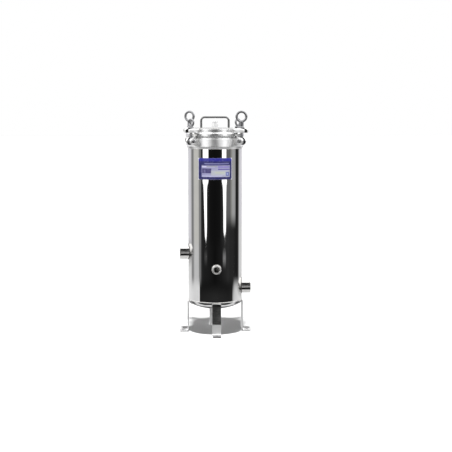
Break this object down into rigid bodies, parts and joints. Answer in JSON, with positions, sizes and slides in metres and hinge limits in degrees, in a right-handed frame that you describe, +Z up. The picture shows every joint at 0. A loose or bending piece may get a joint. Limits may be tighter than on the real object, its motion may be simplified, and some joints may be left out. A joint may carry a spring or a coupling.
{
  "type": "multi-cartridge filter housing",
  "caption": "Upright polished steel filter vessel on strap legs, with side pipe stubs, a front tapped socket and a flat lid held by swing bolts with ring nuts",
  "frame": {"origin": "on the floor, on the vessel axis", "axes": "+Z up, front with the tapped socket towards -Y, inlet stub towards -X, outlet stub towards +X"},
  "size_m": [0.294, 0.294, 0.9098],
  "materials": {
    "polished_shell": "mirror polished stainless steel",
    "polished_lid": "mirror polished stainless steel",
    "bar_steel": "bright stainless flat bar",
    "pipe_steel": "machined stainless pipe",
    "fastener_steel": "stainless fasteners",
    "inner_steel": "plain stainless sheet",
    "seal_rubber": "black rubber",
    "rating_plate": "blue printed plate",
    "filter_media": "white wound fibre",
    "cap_plastic": "white moulded plastic"
  },
  "bodies": {
    "vessel": {"shell_plate_front": "polished_shell", "shell_plate_right": "polished_shell", "shell_plate_rear": "polished_shell", "shell_plate_left": "polished_shell", "shell_tube_upper": "polished_shell", "bottom_head": "polished_shell", "body_collar": "polished_shell", "collar_seal": "seal_rubber", "inlet_pipe": "pipe_steel", "outlet_pipe": "pipe_steel", "front_socket": "pipe_steel", "leg_right": "bar_steel", "leg_rear": "bar_steel", "leg_left": "bar_steel", "leg_front": "bar_steel", "rating_plate": "rating_plate", "body_lugs": "bar_steel", "pivot_pins": "fastener_steel", "tube_sheet": "inner_steel", "cartridge_seats": "inner_steel", "filter_cartridges": "filter_media", "cartridge_end_caps": "cap_plastic", "cartridge_top_caps": "cap_plastic", "hold_down_springs": "inner_steel", "hold_down_plate": "inner_steel", "tie_rods": "inner_steel", "tie_rod_nuts": "inner_steel"},
    "lid": {"lid_cover": "polished_lid", "lid_ears": "polished_lid", "lid_handle": "polished_lid", "vent_socket": "pipe_steel", "vent_plug": "fastener_steel"},
    "bolt_front_left": {"swing_bolt_front_left": "fastener_steel"},
    "washer_front_left_body": {"washer_front_left": "fastener_steel"},
    "nut_front_left": {"ring_nut_front_left": "fastener_steel"},
    "bolt_front_right": {"swing_bolt_front_right": "fastener_steel"},
    "washer_front_right_body": {"washer_front_right": "fastener_steel"},
    "nut_front_right": {"ring_nut_front_right": "fastener_steel"},
    "bolt_rear_right": {"swing_bolt_rear_right": "fastener_steel"},
    "washer_rear_right_body": {"washer_rear_right": "fastener_steel"},
    "nut_rear_right": {"ring_nut_rear_right": "fastener_steel"},
    "bolt_rear_left": {"swing_bolt_rear_left": "fastener_steel"},
    "washer_rear_left_body": {"washer_rear_left": "fastener_steel"},
    "nut_rear_left": {"ring_nut_rear_left": "fastener_steel"}
  },
  "joints": [
    {"name": "lid_lift", "type": "slide", "parent": "vessel", "child": "lid", "axis": [0, 0, 1], "range_m": [0, 0.007]},
    {"name": "swing_front_left", "type": "hinge", "parent": "vessel", "child": "bolt_front_left", "pos_m": [-0.10041, -0.10041, 0.788], "axis": [0.7071, -0.7071, 0], "range_deg": [0, 175]},
    {"name": "washer_travel_front_left", "type": "slide", "parent": "bolt_front_left", "child": "washer_front_left_body", "axis": [0, 0, 1], "range_m": [0, 0.0071]},
    {"name": "nut_turn_front_left", "type": "hinge", "parent": "washer_front_left_body", "child": "nut_front_left", "pos_m": [-0.10041, -0.10041, 0.85], "axis": [0, 0, 1], "range_deg": [0, 1450]},
    {"name": "swing_front_right", "type": "hinge", "parent": "vessel", "child": "bolt_front_right", "pos_m": [0.10041, -0.10041, 0.788], "axis": [0.7071, 0.7071, 0], "range_deg": [0, 175]},
    {"name": "washer_travel_front_right", "type": "slide", "parent": "bolt_front_right", "child": "washer_front_right_body", "axis": [0, 0, 1], "range_m": [0, 0.0071]},
    {"name": "nut_turn_front_right", "type": "hinge", "parent": "washer_front_right_body", "child": "nut_front_right", "pos_m": [0.10041, -0.10041, 0.85], "axis": [0, 0, 1], "range_deg": [0, 1450]},
    {"name": "swing_rear_right", "type": "hinge", "parent": "vessel", "child": "bolt_rear_right", "pos_m": [0.10041, 0.10041, 0.788], "axis": [-0.7071, 0.7071, 0], "range_deg": [0, 175]},
    {"name": "washer_travel_rear_right", "type": "slide", "parent": "bolt_rear_right", "child": "washer_rear_right_body", "axis": [0, 0, 1], "range_m": [0, 0.0071]},
    {"name": "nut_turn_rear_right", "type": "hinge", "parent": "washer_rear_right_body", "child": "nut_rear_right", "pos_m": [0.10041, 0.10041, 0.85], "axis": [0, 0, 1], "range_deg": [0, 1450]},
    {"name": "swing_rear_left", "type": "hinge", "parent": "vessel", "child": "bolt_rear_left", "pos_m": [-0.10041, 0.10041, 0.788], "axis": [-0.7071, -0.7071, 0], "range_deg": [0, 175]},
    {"name": "washer_travel_rear_left", "type": "slide", "parent": "bolt_rear_left", "child": "washer_rear_left_body", "axis": [0, 0, 1], "range_m": [0, 0.0071]},
    {"name": "nut_turn_rear_left", "type": "hinge", "parent": "washer_rear_left_body", "child": "nut_rear_left", "pos_m": [-0.10041, 0.10041, 0.85], "axis": [0, 0, 1], "range_deg": [0, 1450]}
  ],
  "couplings": [
    {"joint": "washer_travel_front_left", "follows": "lid_lift", "ratio": 1},
    {"joint": "nut_turn_front_left", "follows": "lid_lift", "rad_per_m": 3590.4},
    {"joint": "washer_travel_front_right", "follows": "lid_lift", "ratio": 1},
    {"joint": "nut_turn_front_right", "follows": "lid_lift", "rad_per_m": 3590.4},
    {"joint": "washer_travel_rear_right", "follows": "lid_lift", "ratio": 1},
    {"joint": "nut_turn_rear_right", "follows": "lid_lift", "rad_per_m": 3590.4},
    {"joint": "washer_travel_rear_left", "follows": "lid_lift", "ratio": 1},
    {"joint": "nut_turn_rear_left", "follows": "lid_lift", "rad_per_m": 3590.4}
  ]
}
